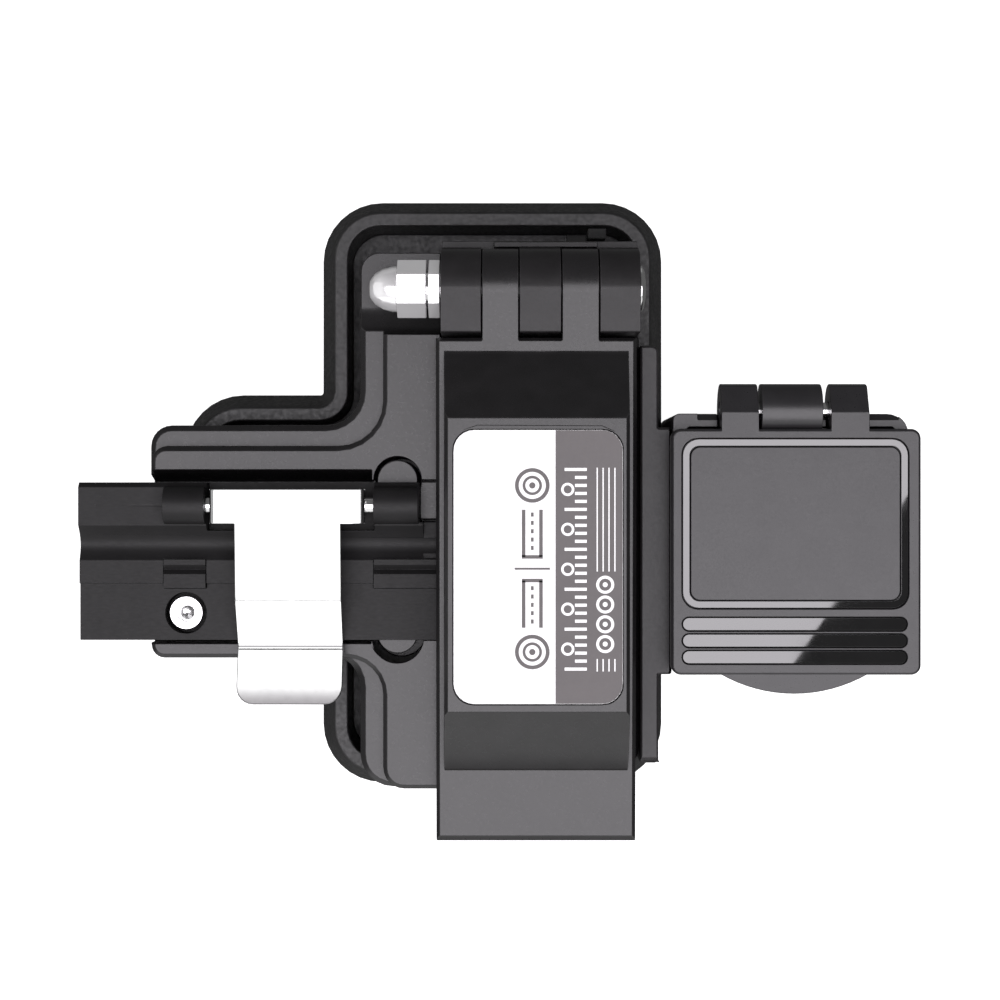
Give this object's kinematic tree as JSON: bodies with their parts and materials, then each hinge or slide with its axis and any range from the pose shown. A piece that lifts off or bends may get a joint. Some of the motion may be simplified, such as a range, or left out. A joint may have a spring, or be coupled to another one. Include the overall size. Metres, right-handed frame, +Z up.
{
  "type": "optical fibre cleaver",
  "caption": "Bench-top optical fibre cleaver: a hinged press arm over a sliding blade wheel, a V-groove fibre guide with a sprung-steel clamp, and a lidded scrap box.",
  "frame": {"origin": "centre of the footprint, on the bench", "axes": "+X from the fibre guide to the scrap box, +Y from the press lip to the arm's hinge, +Z up"},
  "size_m": [0.1252, 0.098, 0.044],
  "materials": {
    "casting": "satin",
    "tray": "satin",
    "anodised": "matte",
    "plated": "gloss",
    "steel": "satin",
    "rubber": "matte",
    "plastic": "matte",
    "inlay": "gloss",
    "label": "satin",
    "carbide": "polished"
  },
  "bodies": {
    "base": {"base_tray": "tray", "main_body": "casting", "hinge_bracket": "casting", "hinge_bolt": "plated", "jam_nut": "plated", "acorn_nut": "plated", "fibre_guide": "anodised", "vgroove_insert_outer": "anodised", "vgroove_insert_inner": "anodised", "guide_screw": "plated", "clamp_magnet": "steel", "clamp_pin": "plated", "lower_pad_left": "rubber", "lower_pad_right": "rubber", "pad_seat_left": "steel", "pad_seat_right": "steel", "slide_rail": "steel", "side_plate": "casting", "scrap_box": "plastic", "lid_hinge_pin": "plated", "locating_stud_rear": "casting", "locating_stud_front": "casting", "foot_1": "rubber", "foot_2": "rubber", "foot_3": "rubber", "foot_4": "rubber", "base_screw_1": "steel", "base_screw_2": "steel", "base_screw_3": "steel", "base_screw_4": "steel", "plate_screw_1": "steel", "plate_screw_2": "steel", "box_screw_1": "steel", "box_screw_2": "steel"},
    "arm": {"arm_frame": "casting", "arm_cover": "casting", "label_plate": "label", "upper_clamp_block": "anodised", "upper_pad_left": "rubber", "upper_pad_right": "rubber", "anvil_spring": "steel", "drive_pin": "steel", "drive_roller": "plated"},
    "anvil": {"anvil": "steel"},
    "clamp": {"clamp_plate": "plated", "clamp_pad": "rubber"},
    "carriage": {"blade_carriage": "anodised", "rail_slider": "steel", "blade_holder": "anodised"},
    "wheel": {"blade_wheel": "carbide", "wheel_screw": "steel"},
    "lid": {"box_lid": "plastic", "lid_inlay": "inlay", "grip_bar_1": "inlay", "grip_bar_2": "inlay", "grip_bar_3": "inlay"},
    "feed": {"feed_roller": "rubber", "feed_shaft": "steel"},
    "pinch": {"pinch_roller": "rubber", "pinch_shaft": "steel"}
  },
  "joints": [
    {"name": "arm_hinge", "type": "hinge", "parent": "base", "child": "arm", "pos_m": [0, 0.03365, 0.03], "axis": [-1, 0, 0], "range_deg": [0, 65]},
    {"name": "anvil_slide", "type": "slide", "parent": "arm", "child": "anvil", "axis": [0, 0, 1], "range_m": [0, 0.0012], "stiffness_N_per_m": 400, "deforming": ["anvil_spring"]},
    {"name": "clamp_hinge", "type": "hinge", "parent": "base", "child": "clamp", "pos_m": [0, 0.0012, 0.0324], "axis": [-1, 0, 0], "range_deg": [0, 100]},
    {"name": "blade_slide", "type": "slide", "parent": "base", "child": "carriage", "axis": [0, -1, 0], "range_m": [0, 0.01505]},
    {"name": "wheel_turn", "type": "hinge", "parent": "carriage", "child": "wheel", "pos_m": [0, -0.0014, 0.022], "axis": [1, 0, 0], "continuous": true},
    {"name": "lid_hinge", "type": "hinge", "parent": "base", "child": "lid", "pos_m": [0, 0.0153, 0.032], "axis": [-1, 0, 0], "range_deg": [0, 110]},
    {"name": "feed_turn", "type": "hinge", "parent": "base", "child": "feed", "pos_m": [0.0322, 0, 0.0267], "axis": [0, 1, 0], "continuous": true},
    {"name": "pinch_turn", "type": "hinge", "parent": "lid", "child": "pinch", "pos_m": [0.0322, 0, 0.03215], "axis": [0, 1, 0], "continuous": true}
  ],
  "couplings": [
    {"joint": "blade_slide", "follows": "arm_hinge", "m_per_rad": 0.013249},
    {"joint": "pinch_turn", "follows": "feed_turn", "ratio": -1.65}
  ]
}
